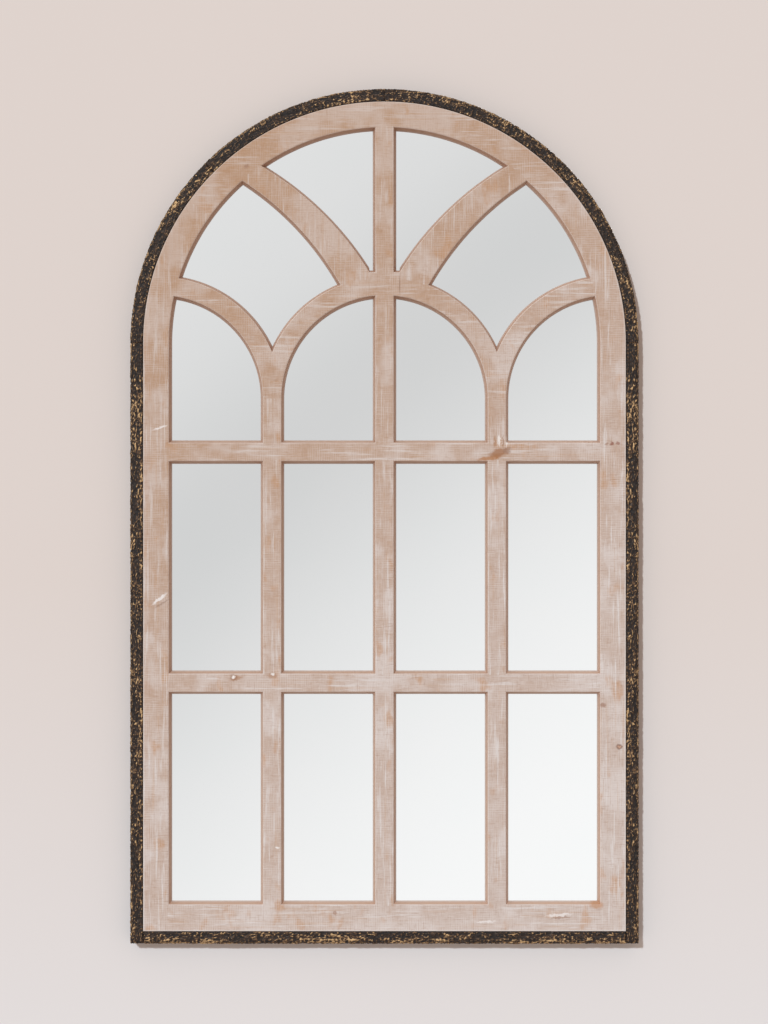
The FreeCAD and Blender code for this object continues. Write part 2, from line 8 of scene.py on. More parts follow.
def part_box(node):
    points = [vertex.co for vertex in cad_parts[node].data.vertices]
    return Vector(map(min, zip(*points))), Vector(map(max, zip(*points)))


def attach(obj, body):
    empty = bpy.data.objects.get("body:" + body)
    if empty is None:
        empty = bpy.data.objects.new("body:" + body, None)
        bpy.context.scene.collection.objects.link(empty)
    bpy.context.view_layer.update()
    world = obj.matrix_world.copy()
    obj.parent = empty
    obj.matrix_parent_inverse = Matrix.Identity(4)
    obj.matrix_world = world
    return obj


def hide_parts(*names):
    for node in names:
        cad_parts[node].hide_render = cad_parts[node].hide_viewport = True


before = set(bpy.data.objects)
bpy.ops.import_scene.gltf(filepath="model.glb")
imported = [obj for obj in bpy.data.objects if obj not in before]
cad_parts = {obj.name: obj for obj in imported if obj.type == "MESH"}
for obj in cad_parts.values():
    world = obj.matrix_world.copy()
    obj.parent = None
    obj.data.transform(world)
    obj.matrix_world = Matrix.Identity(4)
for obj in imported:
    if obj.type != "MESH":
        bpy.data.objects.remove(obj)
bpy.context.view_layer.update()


# The face frame: stiles, rail, arch, crossing bars, small arcs, arms and hub. The real ones are
# sawn fir, stained tan, brushed with thin white and rubbed back, and they are tenoned, lapped and
# scribed together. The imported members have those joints, splays and rounded edges already.

def linear(hex_colour):
    """An sRGB hex colour as linear red, green, blue and alpha."""
    parts = [int(hex_colour[i:i + 2], 16) / 255 for i in (1, 3, 5)]
    return [p / 12.92 if p <= 0.04045 else ((p + 0.055) / 1.055) ** 2.4 for p in parts] + [1.0]


def add(tree, kind, inputs=None, **settings):
    """Adds a node with its settings. An input is a value or another node's output."""
    node = tree.nodes.new(kind)
    for name, value in settings.items():
        setattr(node, name, value)
    for socket, value in (inputs or {}).items():
        if isinstance(value, bpy.types.NodeSocket):
            tree.links.new(value, node.inputs[socket])
        else:
            node.inputs[socket].default_value = value
    return node


def finish(name):
    """A new material by the name of its finish, with the tree and shader that it starts with."""
    material = bpy.data.materials.new(name)
    material.use_nodes = True
    tree = material.node_tree
    return material, tree, tree.nodes["Principled BSDF"]


def wear(tree, place, layers, tint):
    """Lays patterns over a colour. A layer is its grain size in mm along x, y and z, the noise
    range over which it comes in, how far it covers, and its colour."""
    for size, low, high, cover, hex_colour in layers:
        at = add(tree, "ShaderNodeMapping", {"Vector": place, "Scale": [1000 / s for s in size]})
        noise = add(tree, "ShaderNodeTexNoise", {
            "Vector": at.outputs["Vector"], "Scale": 1.0, "Detail": 2.5, "Roughness": 0.6})
        amount = add(tree, "ShaderNodeMapRange", {
            "Value": noise.outputs["Fac"], "From Min": low, "From Max": high, "To Max": cover},
            interpolation_type="SMOOTHSTEP")
        tint = add(tree, "ShaderNodeMix", {
            0: amount.outputs["Result"], 6: tint, 7: linear(hex_colour)},
            data_type="RGBA").outputs[2]
    return tint


stile_low, stile_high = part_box("left_stile")
wood_half, wood_front, wood_bottom = -stile_low.x, stile_low.y, stile_low.z
spring_z = stile_high.z             # the arch stands on the stiles

# Thin whitewash over a tan stain: matt and chalky, pink-beige where it covers, tan where it is
# rubbed. The brush ran along each member, so upright and level members have their own strokes.
for grain, strokes, streaks, members in (
    ("upright", (3.6, 8, 70), (2.6, 8, 90), (
        "left_stile", "right_stile", "left_mullion", "right_mullion", "lower_middle_mullion",
        "upper_middle_mullion", "arch_left_lower", "arch_right_lower", "left_arm", "right_arm")),
    ("level", (70, 8, 3.6), (90, 8, 2.6), (
        "bottom_rail", "lower_transom", "upper_transom", "hub_block", "arch_left_upper", "arch_top",
        "arch_right_upper", "left_outer_small_arc", "left_inner_small_arc",
        "right_inner_small_arc", "right_outer_small_arc")),
):
    wood, tree, shader = finish("Whitewashed sawn fir, grain " + grain)
    place = add(tree, "ShaderNodeTexCoord").outputs["Object"]
    axes = add(tree, "ShaderNodeSeparateXYZ", {0: place})

    # The wood is browner and darker towards the top left, and paler towards the bottom right.
    slope = add(tree, "ShaderNodeVectorMath", {0: place, 1: (0.5, 0.0, -0.75)},
                operation="DOT_PRODUCT")
    thickness = add(tree, "ShaderNodeMapRange", {
        "Value": slope.outputs["Value"], "From Min": -0.35, "From Max": 0.75})
    tint = add(tree, "ShaderNodeMix", {
        0: thickness.outputs["Result"], 6: linear("#b69278"), 7: linear("#cab8af")},
        data_type="RGBA").outputs[2]
    tint = wear(tree, place, (
        ((60, 60, 60), 0.46, 0.62, 0.58, "#dbd0cc"),      # clouds of thicker wash
        ((26, 30, 46), 0.56, 0.70, 0.70, "#bd8d66"),      # wash rubbed through to the stain
        (strokes, 0.55, 0.69, 0.70, "#e0d9d7"),           # brush strokes along the member
        (streaks, 0.56, 0.70, 0.45, "#c09a7c"),           # and bare streaks between them
        ((14, 6, 1.7), 0.50, 0.64, 0.20, "#e4dad6"),      # torn fibres, coarser than real to show
        ((1.7, 6, 14), 0.50, 0.64, 0.16, "#e4dad6"),
        ((16, 6, 1.9), 0.54, 0.68, 0.32, "#9c7154"),      # stain left in the torn fibres
        ((1.9, 6, 16), 0.54, 0.68, 0.26, "#9c7154"),
    ), tint)

    # Saw marks: lines about 3 mm apart across and along the boards, in patches, filled with wash.
    for direction, patch in (("Z", (38, 30, 26)), ("X", (26, 30, 38))):
        lines = add(tree, "ShaderNodeTexWave", {
            "Vector": place, "Scale": 100.0, "Distortion": 1.6, "Detail": 2.0, "Detail Scale": 0.5},
            bands_direction=direction)
        at = add(tree, "ShaderNodeMapping", {"Vector": place, "Scale": [1000 / s for s in patch]})
        where = add(tree, "ShaderNodeTexNoise", {
            "Vector": at.outputs["Vector"], "Scale": 1.0, "Detail": 2.0})
        where = add(tree, "ShaderNodeMapRange", {
            "Value": where.outputs["Fac"], "From Min": 0.42, "From Max": 0.62, "To Max": 0.30})
        share = add(tree, "ShaderNodeMath", {
            0: lines.outputs["Fac"], 1: where.outputs["Result"]}, operation="MULTIPLY")
        tint = add(tree, "ShaderNodeMix", {
            0: share.outputs[0], 6: tint, 7: linear("#e2d9d6")}, data_type="RGBA").outputs[2]

    # Towards the top the wood turns browner.
    share = add(tree, "ShaderNodeMapRange", {
        "Value": slope.outputs["Value"], "From Min": -0.30, "From Max": 0.32,
        "To Min": 0.42, "To Max": 0.0})
    tint = add(tree, "ShaderNodeMix", {
        0: share.outputs["Result"], 6: tint, 7: linear("#b38c6c")}, data_type="RGBA").outputs[2]

    # A white line along the wood's outer edge, beside the band: partly wash that the brush left on
    # the edge, and partly a painted highlight of the edge. It is fainter at the top left.
    above = add(tree, "ShaderNodeMath", {0: axes.outputs["Z"], 1: spring_z},
                operation="SUBTRACT")
    above = add(tree, "ShaderNodeMath", {0: above.outputs[0], 1: 0.0}, operation="MAXIMUM")
    reach = add(tree, "ShaderNodeCombineXYZ", {0: axes.outputs["X"], 2: above.outputs[0]})
    reach = add(tree, "ShaderNodeVectorMath", {0: reach.outputs[0]}, operation="LENGTH")
    inside = add(tree, "ShaderNodeMath", {0: wood_half, 1: reach.outputs["Value"]},
                 operation="SUBTRACT")
    over_rail = add(tree, "ShaderNodeMath", {0: axes.outputs["Z"], 1: -wood_bottom})
    inside = add(tree, "ShaderNodeMath", {0: inside.outputs[0], 1: over_rail.outputs[0]},
                 operation="MINIMUM")
    share = add(tree, "ShaderNodeMapRange", {
        "Value": inside.outputs[0], "From Min": 0.0026, "From Max": 0.0008, "To Max": 0.9})
    share = add(tree, "ShaderNodeMath", {
        0: share.outputs["Result"], 1: thickness.outputs["Result"]}, operation="MULTIPLY")
    # The white strip is partly a painted highlight of the edge.
    tint = add(tree, "ShaderNodeMix", {
        0: share.outputs[0], 6: tint, 7: linear("#ebe4e1")}, data_type="RGBA").outputs[2]

    # Down the splayed side, in mm behind the front: a pale edge, partly rubbed wash and partly a
    # painted highlight; then bare stain, darkened by painted shade; then a greyer strip next to the
    # glass, which is painted shade and painted reflection where the splay meets the glass. Each line
    # is darker at the top.
    for start, end, top_colour, low_colour, cover in (
        (0.1, 0.4, "#e0cfc4", "#e9dfda", 0.50),
        (0.7, 2.0, "#a67b61", "#c39c84", 0.85),
        (6.0, 11.0, "#b4988a", "#ccbab0", 0.90),
    ):
        line = add(tree, "ShaderNodeMix", {
            0: thickness.outputs["Result"], 6: linear(top_colour), 7: linear(low_colour)},
            data_type="RGBA")
        share = add(tree, "ShaderNodeMapRange", {
            "Value": axes.outputs["Y"], "From Min": wood_front + start / 1000,
            "From Max": wood_front + end / 1000, "To Max": cover},
            interpolation_type="SMOOTHSTEP")
        tint = add(tree, "ShaderNodeMix", {
            0: share.outputs["Result"], 6: tint, 7: line.outputs[2]}, data_type="RGBA").outputs[2]

    # Knots, filled knots, nicks and joint lines: middle x, z and half size x, z in mm, turn in
    # degrees, colour, cover, and a ragged outline or a straight one.
    frayed = add(tree, "ShaderNodeTexNoise", {"Vector": place, "Scale": 260.0, "Detail": 3.0})
    shift = add(tree, "ShaderNodeVectorMath", {
        0: frayed.outputs["Color"], 1: (0.5, 0.5, 0.5)}, operation="SUBTRACT")
    shift = add(tree, "ShaderNodeVectorMath", {0: shift.outputs["Vector"], "Scale": 0.006},
                operation="SCALE")
    ragged = add(tree, "ShaderNodeVectorMath", {0: place, 1: shift.outputs["Vector"]},
                 operation="ADD").outputs["Vector"]
    for x, z, across, up, turn, hex_colour, cover, outline in (
        (144, -128, 19, 2.8, 8, "#ad7445", 0.75, ragged),
        (157, -121, 14, 6, 12, "#9f6c47", 0.82, ragged),
        (169, -117, 6, 5, 0, "#96705a", 0.60, ragged),
        (152, -105, 1.8, 9, 0, "#a5744f", 0.60, ragged),
        (158, -104, 1.8, 8, 0, "#eee6e1", 0.75, ragged),
        (163.5, -106, 1.6, 9, 0, "#9c6f50", 0.65, ragged),
        (168, -105, 1.6, 8, 0, "#eee6e1", 0.65, ragged),
        (-204, -431, 11, 3.5, 12, "#ad8163", 0.65, ragged),
        (-208, -430, 5.5, 5, 0, "#9a6f55", 0.70, ragged),
        (-208.5, -429.5, 2.6, 2.6, 0, "#f2ebe7", 0.95, ragged),
        (-154.5, -427, 7.5, 5, 0, "#a97b5c", 0.60, ragged),
        (-154.5, -425, 3.2, 2.0, 0, "#ece6e2", 0.90, ragged),
        (-310, -322, 14, 2.2, 38, "#efe8e6", 0.85, ragged),
        (-306, -328, 12, 1.8, 30, "#8d6c5b", 0.45, ragged),
        (-309, -86, 11, 1.8, 20, "#efe8e6", 0.75, ragged),
        (323.2, -525.5, 4.2, 4.2, 0, "#7d5542", 0.80, ragged),
        (323.2, -525.5, 2.0, 2.0, 0, "#c9a088", 0.80, ragged),
        (301, -468, 4.5, 3, 0, "#94664e", 0.60, ragged),
        (306, -108.4, 2.2, 2.0, 0, "#9c7460", 0.60, ragged),
        (313.5, -108.2, 2.6, 3.2, 0, "#8e5a49", 0.80, ragged),
        (321.6, -107.6, 2.8, 2.4, 0, "#946455", 0.70, ragged),
        (-148, -664, 3.2, 1.6, 0, "#f0ebe8", 0.85, ragged),
        (-69, -754, 3, 2.6, 0, "#a07660", 0.60, ragged),
        (139, -766.5, 16, 1.6, 3, "#efe8e6", 0.70, ragged),
        (240, -757, 19, 2.2, 6, "#efe8e6", 0.70, ragged),
        (243, -760.5, 15, 1.4, 6, "#93705e", 0.50, ragged),
        (292, -743, 10, 6, 0, "#bf8659", 0.60, ragged),
        (-190, 274, 4.5, 3, 30, "#9a745f", 0.60, ragged),
        (20.9, 111.4, 0.55, 15.5, 0, "#8b6854", 0.85, place),
        (-21.2, 108, 0.5, 13, 0, "#a98469", 0.50, place),
        (-79.4, 350, 0.6, 7, 0, "#a98469", 0.45, place),
        (-79.4, 162.6, 0.6, 12, 0, "#a98469", 0.40, place),
        (-79.4, 94, 0.6, 8, 0, "#a98469", 0.40, place),
    ):
        from_middle = add(tree, "ShaderNodeMapping", {
            "Vector": outline, "Location": (x / 1000, 0.0, z / 1000),
            "Rotation": (0.0, -math.radians(turn), 0.0), "Scale": (across / 1000, 1000.0, up / 1000)},
            vector_type="TEXTURE")
        far = add(tree, "ShaderNodeVectorMath", {0: from_middle.outputs["Vector"]},
                  operation="LENGTH")
        share = add(tree, "ShaderNodeMapRange", {
            "Value": far.outputs["Value"], "From Min": 1.15, "From Max": 0.6, "To Max": cover})
        tint = add(tree, "ShaderNodeMix", {
            0: share.outputs["Result"], 6: tint, 7: linear(hex_colour)}, data_type="RGBA").outputs[2]
    tree.links.new(tint, shader.inputs["Base Color"])

    # Saw marks and brush strokes stand a few tenths of a millimetre deep.
    height = None
    for size in ((14, 6, 2.2), (2.2, 6, 14)):
        at = add(tree, "ShaderNodeMapping", {"Vector": place, "Scale": [1000 / s for s in size]})
        noise = add(tree, "ShaderNodeTexNoise", {
            "Vector": at.outputs["Vector"], "Scale": 1.0, "Detail": 2.0})
        height = noise.outputs["Fac"] if height is None else add(
            tree, "ShaderNodeMath", {0: height, 1: noise.outputs["Fac"]}).outputs[0]
    bump = add(tree, "ShaderNodeBump", {"Strength": 0.7, "Distance": 0.0006, "Height": height})
    tree.links.new(bump.outputs["Normal"], shader.inputs["Normal"])
    shader.inputs["Roughness"].default_value = 0.78
    shader.inputs["Specular IOR Level"].default_value = 0.3

    for name in members:
        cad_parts[name].data.materials[0] = wood


# Splines and dowels: loose beech tongues across the joints of the arch, and beech pins between
# each arm and the small arc under it. Planed and glued in, so all but hidden.

# Close-grained and pinkish tan, with short dark rays and a low sheen from the plane.
beech, tree, shader = finish("Planed beech")
place = add(tree, "ShaderNodeTexCoord").outputs["Object"]
tint = wear(tree, place, (
    ((2, 2, 40), 0.4, 0.7, 0.6, "#a9794e"),           # growth rings along the grain
    ((0.8, 0.8, 2.5), 0.58, 0.7, 0.7, "#8f603b"),     # rays
), linear("#c79c6d"))
tree.links.new(tint, shader.inputs["Base Color"])
shader.inputs["Roughness"].default_value = 0.55
for name in ("arch_splines", "arm_dowels"):
    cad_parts[name].data.materials[0] = beech


# The dark band round the outside: bark-like relief pressed into the surface, painted black-brown
# and rubbed with bronze on its ridges. Nailed on in two uprights, a strip between them at the
# bottom, and four pieces round the arch.

def merged_copy(node, name):
    """A copy of a CAD node's mesh with its loose triangles merged, as a new object."""
    bpy.ops.object.select_all(action="DESELECT")
    piece = bpy.data.objects.new(name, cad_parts[node].data.copy())
    bpy.context.scene.collection.objects.link(piece)
    bpy.context.view_layer.objects.active = piece
    piece.select_set(True)
    bpy.ops.object.mode_set(mode="EDIT")
    bpy.ops.mesh.select_all(action="SELECT")
    bpy.ops.mesh.remove_doubles(threshold=1e-5)
    bpy.ops.mesh.normals_make_consistent(inside=False)
    bpy.ops.object.mode_set(mode="OBJECT")
    return piece


def modifier(piece, kind, **settings):
    """Adds a modifier with its settings and applies it."""
    made = piece.modifiers.new(kind.title(), kind)
    for name, value in settings.items():
        setattr(made, name, value)
    bpy.context.view_layer.objects.active = piece
    bpy.ops.object.modifier_apply(modifier=made.name)


band_low, band_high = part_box("left_band_upright")
band_front, band_back = band_low.y, band_high.y
ridge_length, ridge_width, ridge_depth = 0.0110, 0.0024, 0.0011
calm_edge = 0.0012                  # smoother strip beside the wood
worn_edge = 0.0012                  # strip that the cloth rubs along the outer corner
voxel = 0.0011

# The relief and its colours are laid out in steps of one ridge, along the band and round it.
ridges = bpy.data.textures.new("Bark ridges", "MUSGRAVE")
ridges.musgrave_type = "RIDGED_MULTIFRACTAL"
ridges.noise_scale = 1.0
ridges.octaves = 3.0
lumps = bpy.data.textures.new("Bark lumps", "CLOUDS")
lumps.noise_scale = 1.6
grit = bpy.data.textures.new("Bark grit", "CLOUDS")
grit.noise_scale = 0.35

# Black-brown paint, nearly matt, with a soft bronze glint along the tops of the ridges.
bark, tree, shader = finish("Black-brown bark relief rubbed with bronze")
relief = add(tree, "ShaderNodeAttribute", attribute_name="relief").outputs["Fac"]
strokes = add(tree, "ShaderNodeUVMap", uv_map="along").outputs["UV"]
tint = linear("#221a17")
for scale, low, high, cover, hex_colour in (
    ((0.5, 0.5, 1.0), 0.45, 0.65, 0.7, "#3d2c22"),    # browner patches
    ((1.3, 1.5, 1.0), 0.52, 0.62, 0.6, "#120d0b"),    # black hollows
    ((1.7, 1.1, 1.0), 0.60, 0.68, 0.5, "#7b6a5e"),    # grey dust
):
    at = add(tree, "ShaderNodeMapping", {"Vector": strokes, "Scale": scale})
    noise = add(tree, "ShaderNodeTexNoise", {"Vector": at.outputs["Vector"], "Scale": 1.0,
                                             "Detail": 3.0})
    share = add(tree, "ShaderNodeMapRange", {
        "Value": noise.outputs["Fac"], "From Min": low, "From Max": high, "To Max": cover})
    tint = add(tree, "ShaderNodeMix", {
        0: share.outputs["Result"], 6: tint, 7: linear(hex_colour)}, data_type="RGBA").outputs[2]

# Bronze takes where the relief stands above a limit that differs from patch to patch, in flecks:
# brown at their rims and bright in their middles.
patchy = add(tree, "ShaderNodeMapping", {"Vector": strokes, "Scale": (0.16, 0.12, 1.0)})
patchy = add(tree, "ShaderNodeTexNoise", {"Vector": patchy.outputs["Vector"], "Scale": 1.0,
                                          "Detail": 2.0})
limit = add(tree, "ShaderNodeMapRange", {
    "Value": patchy.outputs["Fac"], "From Min": 0.35, "From Max": 0.65,
    "To Min": 0.95, "To Max": 0.55})
flecks = add(tree, "ShaderNodeMapping", {"Vector": strokes, "Scale": (2.2, 1.3, 1.0)})
flecks = add(tree, "ShaderNodeTexNoise", {"Vector": flecks.outputs["Vector"], "Scale": 1.0,
                                          "Detail": 2.0})
over = add(tree, "ShaderNodeMath", {0: relief, 1: limit.outputs["Result"]}, operation="SUBTRACT")
over = add(tree, "ShaderNodeMath", {0: over.outputs[0], 1: flecks.outputs["Fac"]})
for low, high, cover, hex_colour in ((0.08, 0.45, 0.70, "#73543a"), (0.40, 0.85, 0.95, "#cca77a")):
    rub = add(tree, "ShaderNodeMapRange", {
        "Value": over.outputs[0], "From Min": low, "From Max": high, "To Max": cover},
        interpolation_type="SMOOTHSTEP")
    tint = add(tree, "ShaderNodeMix", {
        0: rub.outputs["Result"], 6: tint, 7: linear(hex_colour)}, data_type="RGBA").outputs[2]
tree.links.new(tint, shader.inputs["Base Color"])
metal = add(tree, "ShaderNodeMath", {0: rub.outputs["Result"], 1: 0.4}, operation="MULTIPLY")
tree.links.new(metal.outputs[0], shader.inputs["Metallic"])

# Pits finer than the modelled relief.
pits = add(tree, "ShaderNodeMapping", {"Vector": strokes, "Scale": (3.0, 2.0, 1.0)})
pits = add(tree, "ShaderNodeTexNoise", {"Vector": pits.outputs["Vector"], "Scale": 1.0,
                                        "Detail": 3.0})
bump = add(tree, "ShaderNodeBump", {
    "Strength": 0.8, "Distance": 0.0006, "Height": pits.outputs["Fac"]})
tree.links.new(bump.outputs["Normal"], shader.inputs["Normal"])
shader.inputs["Roughness"].default_value = 0.58
shader.inputs["Specular IOR Level"].default_value = 0.22

for node, along_arch in (
    ("left_band_upright", False), ("right_band_upright", False), ("band_bottom_strip", False),
    ("band_arch_right_lower", True), ("band_arch_right_upper", True),
    ("band_arch_left_upper", True), ("band_arch_left_lower", True),
):
    piece = merged_copy(node, node + "_bark")
    modifier(piece, "REMESH", mode="VOXEL", voxel_size=voxel, use_smooth_shade=True)
    mesh = piece.data
    count = len(mesh.vertices)
    points = np.empty(count * 3)
    mesh.vertices.foreach_get("co", points)
    points = points.reshape(-1, 3)
    normals = np.empty(count * 3)
    mesh.vertex_normals.foreach_get("vector", normals)
    normals = normals.reshape(-1, 3)
    # Distance along the band, and round its section from the wood's edge over to the wall.
    if along_arch:
        rise, run = points[:, 2] - spring_z, points[:, 0]
        radius = np.hypot(run, rise)
        along = np.arctan2(rise, run) * wood_half
        out = radius - wood_half
        outward = (normals[:, 0] * run + normals[:, 2] * rise) / radius
    elif node == "band_bottom_strip":
        along, out, outward = points[:, 0], wood_bottom - points[:, 2], -normals[:, 2]
    else:
        side = np.sign(points[:, 0].mean())
        along, out, outward = points[:, 2], side * points[:, 0] - wood_half, side * normals[:, 0]
    around = out + (points[:, 1] - band_front)
    layer = mesh.uv_layers.new(name="along")
    corner = np.empty(len(mesh.loops), dtype=np.int32)
    mesh.loops.foreach_get("vertex_index", corner)
    uv = np.stack([along / ridge_length, around / ridge_width], axis=1)[corner]
    layer.data.foreach_set("uv", uv.ravel())
    # Only the front and the outer side are rough: the inner side lies flat on the wood, and the
    # back is flat.
    rough = np.clip((-normals[:, 1] - 0.2) / 0.3, 0, 1) + np.clip((outward - 0.2) / 0.3, 0, 1)
    rough = np.clip(rough, 0, 1) * np.clip(out / calm_edge, 0.15, 1)
    rough *= np.clip((band_back - points[:, 1]) / 0.002, 0, 1)
    group = piece.vertex_groups.new(name="rough")
    for index in range(count):
        group.add([index], float(rough[index]), "REPLACE")
    for texture, depth in ((lumps, 0.0016), (ridges, ridge_depth), (grit, 0.0005)):
        modifier(piece, "DISPLACE", texture=texture, texture_coords="UV", uv_layer="along",
                 strength=depth, mid_level=0.5, vertex_group="rough")
    raised = np.empty(count * 3)
    mesh = piece.data
    mesh.vertices.foreach_get("co", raised)
    lift = ((raised.reshape(-1, 3) - points) * normals).sum(axis=1)
    # The cloth rubs the tops of the ridges and the band's outer edge.
    edge = np.exp(-((around - out.max()) / worn_edge) ** 2) * (rough > 0.3)
    held = mesh.attributes.new("relief", "FLOAT", "POINT")
    held.data.foreach_set("value", lift / ridge_depth + 0.35 * edge)
    mesh.materials.clear()
    mesh.materials.append(bark)
    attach(piece, "mirror")
    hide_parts(node)


# The band's wire nails: round steel wire, driven through the band into the wood and punched just
# below the surface.

# Steel gone grey, with brown specks and a blurred shine.
steel, tree, shader = finish("Dulled steel wire")
place = add(tree, "ShaderNodeTexCoord").outputs["Object"]
tint = wear(tree, place, (((1.2, 1.2, 1.2), 0.5, 0.7, 0.8, "#5d4a3c"),), linear("#8f8c88"))
tree.links.new(tint, shader.inputs["Base Color"])
shader.inputs["Metallic"].default_value = 1.0
shader.inputs["Roughness"].default_value = 0.42
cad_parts["band_nails"].data.materials[0] = steel


# The mirror: one sheet of 4 mm float glass, silvered on its back, in the rebate behind all the
# bars, which makes sixteen panes of it.

# Nearly a perfect mirror, a touch cool, with a trace of haze. Float glass is nearly flat, so the
# reflection only swims a little.
silver, tree, shader = finish("Silvered float glass")
place = add(tree, "ShaderNodeTexCoord").outputs["Object"]
haze = add(tree, "ShaderNodeTexNoise", {"Vector": place, "Scale": 9.0, "Detail": 3.0})    # 110 mm
dull = add(tree, "ShaderNodeMapRange", {
    "Value": haze.outputs["Fac"], "To Min": 0.012, "To Max": 0.03})
tree.links.new(dull.outputs["Result"], shader.inputs["Roughness"])
wash = add(tree, "ShaderNodeMix", {
    0: haze.outputs["Fac"], 6: linear("#f5f7f7"), 7: linear("#f8f8f8")}, data_type="RGBA")
tree.links.new(wash.outputs[2], shader.inputs["Base Color"])
swim = add(tree, "ShaderNodeTexNoise", {"Vector": place, "Scale": 3.5, "Detail": 1.0})    # 290 mm
bump = add(tree, "ShaderNodeBump", {
    "Strength": 0.2, "Distance": 0.0004, "Height": swim.outputs["Fac"]})
tree.links.new(bump.outputs["Normal"], shader.inputs["Normal"])
shader.inputs["Metallic"].default_value = 1.0
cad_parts["mirror_glass"].data.materials[0] = silver


# Foam pads: squares of white polyethylene foam tape, stuck between the mirror and its back so
# that the glass can't rattle.

# White and matt, with closed cells about 0.7 mm across.
foam, tree, shader = finish("White foam tape")
place = add(tree, "ShaderNodeTexCoord").outputs["Object"]
cells = add(tree, "ShaderNodeTexVoronoi", {"Vector": place, "Scale": 1400.0})
tint = add(tree, "ShaderNodeMix", {
    0: cells.outputs["Distance"], 6: linear("#cfd0cd"), 7: linear("#eeeeea")}, data_type="RGBA")
tree.links.new(tint.outputs[2], shader.inputs["Base Color"])
shader.inputs["Roughness"].default_value = 0.9
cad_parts["mirror_pads"].data.materials[0] = foam


# The back: a sheet of 5 mm medium density fibreboard, sawn to the arch and screwed on behind the
# mirror.

# Even brown and matt, flecked with fibre.
board, tree, shader = finish("Sanded fibreboard")
place = add(tree, "ShaderNodeTexCoord").outputs["Object"]
tint = wear(tree, place, (
    ((2.2, 2.2, 2.2), 0.45, 0.65, 0.45, "#8a6a4a"),   # fibre bundles, coarser than real
    ((4, 4, 9), 0.58, 0.72, 0.40, "#c8a981"),
    ((120, 120, 120), 0.45, 0.65, 0.35, "#94734f"),   # blotches from the press
), linear("#ab8a64"))
tree.links.new(tint, shader.inputs["Base Color"])

# The board's nap: fibres raised about every 1.4 mm.
fibre = add(tree, "ShaderNodeTexNoise", {"Vector": place, "Scale": 700.0, "Detail": 4.0})
bump = add(tree, "ShaderNodeBump", {
    "Strength": 0.35, "Distance": 0.0002, "Height": fibre.outputs["Fac"]})
tree.links.new(bump.outputs["Normal"], shader.inputs["Normal"])
shader.inputs["Roughness"].default_value = 0.82
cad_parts["backing_panel"].data.materials[0] = board


# Screws: round-head wood screws of zinc-plated steel, for the back and for the hangers. Each head
# has a cross recess, which the driver left at any angle.

# Bright blue-grey metal with dull, slightly yellow spots.
zinc, tree, shader = finish("Zinc-plated screw")
place = add(tree, "ShaderNodeTexCoord").outputs["Object"]
tint = wear(tree, place, (((1.5, 1.5, 1.5), 0.45, 0.7, 0.7, "#a9a795"),), linear("#c9cbcd"))
tree.links.new(tint, shader.inputs["Base Color"])
shader.inputs["Metallic"].default_value = 1.0
shader.inputs["Roughness"].default_value = 0.32

# In millimetres, because cuts this small fail in metres. Each copy is brought to metres.
head_radius, head_height, shank_radius, shank_length = 3.0, 1.8, 1.5, 14.0
recess_width, recess_length, recess_depth = 0.8, 3.6, 1.1
to_metres = 0.001


def chosen_faces(piece, wanted):
    """Starts editing a piece with only the faces selected that a test picks."""
    bpy.ops.object.select_all(action="DESELECT")
    piece.select_set(True)
    bpy.context.view_layer.objects.active = piece
    for part in list(piece.data.vertices) + list(piece.data.edges):
        part.select = False
    for face in piece.data.polygons:
        face.select = wanted(face)
    bpy.ops.object.mode_set(mode="EDIT")
    bpy.ops.mesh.select_mode(type="FACE")


# One screw, standing on its tip: the head is turned to a dome and drawn down to its shank.
bpy.ops.object.select_all(action="DESELECT")
bpy.ops.mesh.primitive_cylinder_add(
    vertices=28, radius=head_radius, depth=head_height, location=(0, 0, head_height / 2))
screw = bpy.context.object
bpy.ops.object.transform_apply(location=True)
chosen_faces(screw, lambda face: face.normal.z > 0.9)
bpy.ops.mesh.bevel(offset=head_height * 0.55, segments=5)
bpy.ops.object.mode_set(mode="OBJECT")
chosen_faces(screw, lambda face: face.normal.z < -0.9)
bpy.ops.mesh.inset(thickness=head_radius - shank_radius)
bpy.ops.mesh.extrude_region_move(
    TRANSFORM_OT_translate={"value": (0, 0, -shank_length * 0.8)})
bpy.ops.mesh.extrude_region_move(
    TRANSFORM_OT_translate={"value": (0, 0, -shank_length * 0.2)})
bpy.ops.transform.resize(value=(0.15, 0.15, 1.0))
bpy.ops.object.mode_set(mode="OBJECT")

# Its cross recess: two crossed blades, narrower at the bottom, cut in one after the other.
for turn in (0, math.pi / 2):
    bpy.ops.object.select_all(action="DESELECT")
    bpy.ops.mesh.primitive_cube_add(size=1.0, rotation=(0, 0, turn), scale=(
        recess_length, recess_width, 2 * recess_depth), location=(0, 0, head_height))
    blade = bpy.context.object
    bpy.ops.object.transform_apply(location=True, rotation=True, scale=True)
    chosen_faces(blade, lambda face: face.normal.z < -0.9)
    bpy.ops.transform.resize(value=(0.55, 0.55, 1.0))
    bpy.ops.object.mode_set(mode="OBJECT")
    modifier(screw, "BOOLEAN", operation="DIFFERENCE", solver="EXACT", object=blade)
    bpy.data.objects.remove(blade)
chosen_faces(screw, lambda face: True)
bpy.ops.object.mode_set(mode="OBJECT")
bpy.ops.object.shade_smooth_by_angle(angle=math.radians(35))
screw.data.materials.clear()
screw.data.materials.append(zinc)

